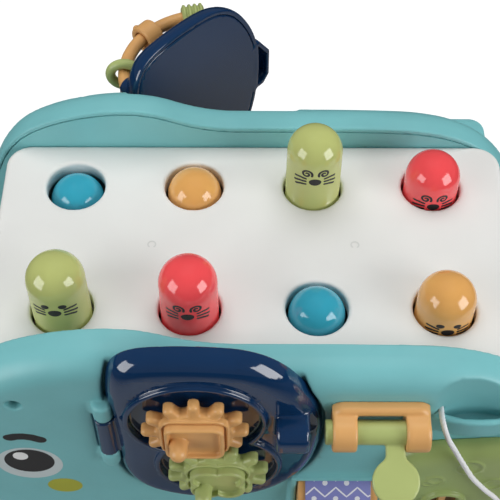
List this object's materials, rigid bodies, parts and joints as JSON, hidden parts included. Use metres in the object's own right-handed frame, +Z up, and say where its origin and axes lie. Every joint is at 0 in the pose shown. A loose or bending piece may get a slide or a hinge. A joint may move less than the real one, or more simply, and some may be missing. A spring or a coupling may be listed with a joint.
{
  "type": "elephant hammer toy",
  "caption": "Child's pounding toy: white box with pop-up moles between two elephant-shaped sides with hinged ears, gears, a slide bolt, a picture roller and a tethered hammer.",
  "frame": {"origin": "centre of the base tray's underside, on the table", "axes": "+Z up, +X towards the elephant's rump, -Y towards the side with the gears"},
  "size_m": [0.314, 0.3235, 0.1946],
  "materials": {
    "white_plastic": "satin moulded",
    "teal_plastic": "satin moulded",
    "steel": "bright zinc plated",
    "navy_plastic": "glossy moulded",
    "orange_plastic": "satin moulded",
    "green_plastic": "satin moulded",
    "mole_green": "satin moulded with printed face",
    "mole_red": "satin moulded with printed face",
    "mole_blue": "satin moulded with printed face",
    "mole_tan": "satin moulded with printed face",
    "purple_print": "printed paper sleeve",
    "brown_plastic": "moulded",
    "white_braid": "braided polyester"
  },
  "bodies": {
    "housing": {"deck_cover": "white_plastic", "base_tray": "white_plastic", "base_screws": "steel", "lever_shaft": "steel", "front_side": "teal_plastic", "front_side_cover": "teal_plastic", "front_side_screws": "steel", "rear_side": "teal_plastic", "rear_side_cover": "teal_plastic", "rear_side_screws": "steel", "front_hinge_pin": "steel", "rear_hinge_pin": "steel", "bolt_bracket": "orange_plastic", "roller_axle": "steel", "hill_cover": "green_plastic", "hill_door": "brown_plastic", "hill_door_bar": "orange_plastic", "cord": "white_braid"},
    "front_ear": {"front_ear_shell": "navy_plastic", "front_ear_cover": "navy_plastic", "orange_gear_axle": "steel", "green_gear_axle": "steel"},
    "orange_gear": {"orange_gear": "orange_plastic"},
    "green_gear": {"green_gear": "green_plastic"},
    "rear_ear": {"rear_ear_shell": "navy_plastic", "rear_ear_cover": "navy_plastic", "bead_rod": "orange_plastic"},
    "green_ring": {"green_ring": "green_plastic"},
    "orange_ring": {"orange_ring": "orange_plastic"},
    "ribbed_ring": {"ribbed_ring": "green_plastic"},
    "slide_bolt": {"slide_bolt": "green_plastic"},
    "roller": {"roller_core": "orange_plastic", "roller_sleeve": "purple_print"},
    "hammer": {"hammer_head": "orange_plastic", "hammer_handle": "teal_plastic"},
    "mole_front_1": {"mole_front_1": "mole_green"},
    "mole_rear_1": {"mole_rear_1": "mole_blue"},
    "lever_1": {"lever_1": "white_plastic"},
    "mole_front_2": {"mole_front_2": "mole_red"},
    "mole_rear_2": {"mole_rear_2": "mole_tan"},
    "lever_2": {"lever_2": "white_plastic"},
    "mole_front_3": {"mole_front_3": "mole_blue"},
    "mole_rear_3": {"mole_rear_3": "mole_green"},
    "lever_3": {"lever_3": "white_plastic"},
    "mole_front_4": {"mole_front_4": "mole_tan"},
    "mole_rear_4": {"mole_rear_4": "mole_red"},
    "lever_4": {"lever_4": "white_plastic"}
  },
  "joints": [
    {"name": "mole_front_1_slide", "type": "slide", "parent": "housing", "child": "mole_front_1", "axis": [0, 0, 1], "range_m": [-0.0356, 0.0024]},
    {"name": "mole_rear_1_slide", "type": "slide", "parent": "housing", "child": "mole_rear_1", "axis": [0, 0, 1], "range_m": [-0.0025, 0.0357]},
    {"name": "lever_1_pivot", "type": "hinge", "parent": "housing", "child": "lever_1", "pos_m": [-0.087, 0, 0.0958], "axis": [-1, 0, 0], "range_deg": [-60.55, 4.36]},
    {"name": "mole_front_2_slide", "type": "slide", "parent": "housing", "child": "mole_front_2", "axis": [0, 0, 1], "range_m": [-0.0319, 0.0061]},
    {"name": "mole_rear_2_slide", "type": "slide", "parent": "housing", "child": "mole_rear_2", "axis": [0, 0, 1], "range_m": [-0.0062, 0.032]},
    {"name": "lever_2_pivot", "type": "hinge", "parent": "housing", "child": "lever_2", "pos_m": [-0.029, 0, 0.0958], "axis": [-1, 0, 0], "range_deg": [-54.29, 10.62]},
    {"name": "mole_front_3_slide", "type": "slide", "parent": "housing", "child": "mole_front_3", "axis": [0, 0, 1], "range_m": [-0.00305, 0.03495]},
    {"name": "mole_rear_3_slide", "type": "slide", "parent": "housing", "child": "mole_rear_3", "axis": [0, 0, 1], "range_m": [-0.03505, 0.00315]},
    {"name": "lever_3_pivot", "type": "hinge", "parent": "housing", "child": "lever_3", "pos_m": [0.029, 0, 0.0958], "axis": [-1, 0, 0], "range_deg": [-5.46, 59.45]},
    {"name": "mole_front_4_slide", "type": "slide", "parent": "housing", "child": "mole_front_4", "axis": [0, 0, 1], "range_m": [-0.0188, 0.0192]},
    {"name": "mole_rear_4_slide", "type": "slide", "parent": "housing", "child": "mole_rear_4", "axis": [0, 0, 1], "range_m": [-0.0193, 0.0189]},
    {"name": "lever_4_pivot", "type": "hinge", "parent": "housing", "child": "lever_4", "pos_m": [0.087, 0, 0.0958], "axis": [-1, 0, 0], "range_deg": [-32.12, 32.79]},
    {"name": "front_ear_hinge", "type": "hinge", "parent": "housing", "child": "front_ear", "pos_m": [-0.066, -0.0828, 0.125], "axis": [0, 0, -1], "range_deg": [0, 100]},
    {"name": "orange_gear_spin", "type": "hinge", "parent": "front_ear", "child": "orange_gear", "pos_m": [-0.0253, -0.088, 0.145], "axis": [0, -1, 0], "continuous": true},
    {"name": "green_gear_spin", "type": "hinge", "parent": "front_ear", "child": "green_gear", "pos_m": [-0.01614, -0.088, 0.10401], "axis": [0, -1, 0], "continuous": true},
    {"name": "rear_ear_hinge", "type": "hinge", "parent": "housing", "child": "rear_ear", "pos_m": [-0.066, 0.0828, 0.125], "axis": [0, 0, 1], "range_deg": [-47.9, 52]},
    {"name": "green_ring_slide", "type": "hinge", "parent": "rear_ear", "child": "green_ring", "pos_m": [-0.02429, 0.10243, 0.1665], "axis": [0, 0, -1], "range_deg": [0, 14]},
    {"name": "orange_ring_slide", "type": "hinge", "parent": "rear_ear", "child": "orange_ring", "pos_m": [-0.02429, 0.10243, 0.1665], "axis": [0, 0, -1], "range_deg": [-15, 9]},
    {"name": "ribbed_ring_slide", "type": "hinge", "parent": "rear_ear", "child": "ribbed_ring", "pos_m": [-0.02429, 0.10243, 0.1665], "axis": [0, 0, -1], "range_deg": [-10, 0.5]},
    {"name": "bolt_slide", "type": "slide", "parent": "housing", "child": "slide_bolt", "axis": [1, 0, 0], "range_m": [-0.0128, 0]},
    {"name": "roller_spin", "type": "hinge", "parent": "housing", "child": "roller", "pos_m": [0.0391, -0.0776, 0.061], "axis": [1, 0, 0], "continuous": true},
    {"name": "hammer_lift", "type": "slide", "parent": "housing", "child": "hammer", "axis": [0, 0, 1], "range_m": [0, 0.06]}
  ],
  "couplings": [
    {"joint": "mole_rear_1_slide", "follows": "mole_front_1_slide", "ratio": -1},
    {"joint": "lever_1_pivot", "follows": "mole_front_1_slide", "rad_per_m": 29.537},
    {"joint": "mole_rear_2_slide", "follows": "mole_front_2_slide", "ratio": -1},
    {"joint": "lever_2_pivot", "follows": "mole_front_2_slide", "rad_per_m": 29.537},
    {"joint": "mole_rear_3_slide", "follows": "mole_front_3_slide", "ratio": -1},
    {"joint": "lever_3_pivot", "follows": "mole_front_3_slide", "rad_per_m": 29.537},
    {"joint": "mole_rear_4_slide", "follows": "mole_front_4_slide", "ratio": -1},
    {"joint": "lever_4_pivot", "follows": "mole_front_4_slide", "rad_per_m": 29.537},
    {"joint": "green_gear_spin", "follows": "orange_gear_spin", "ratio": -1}
  ]
}
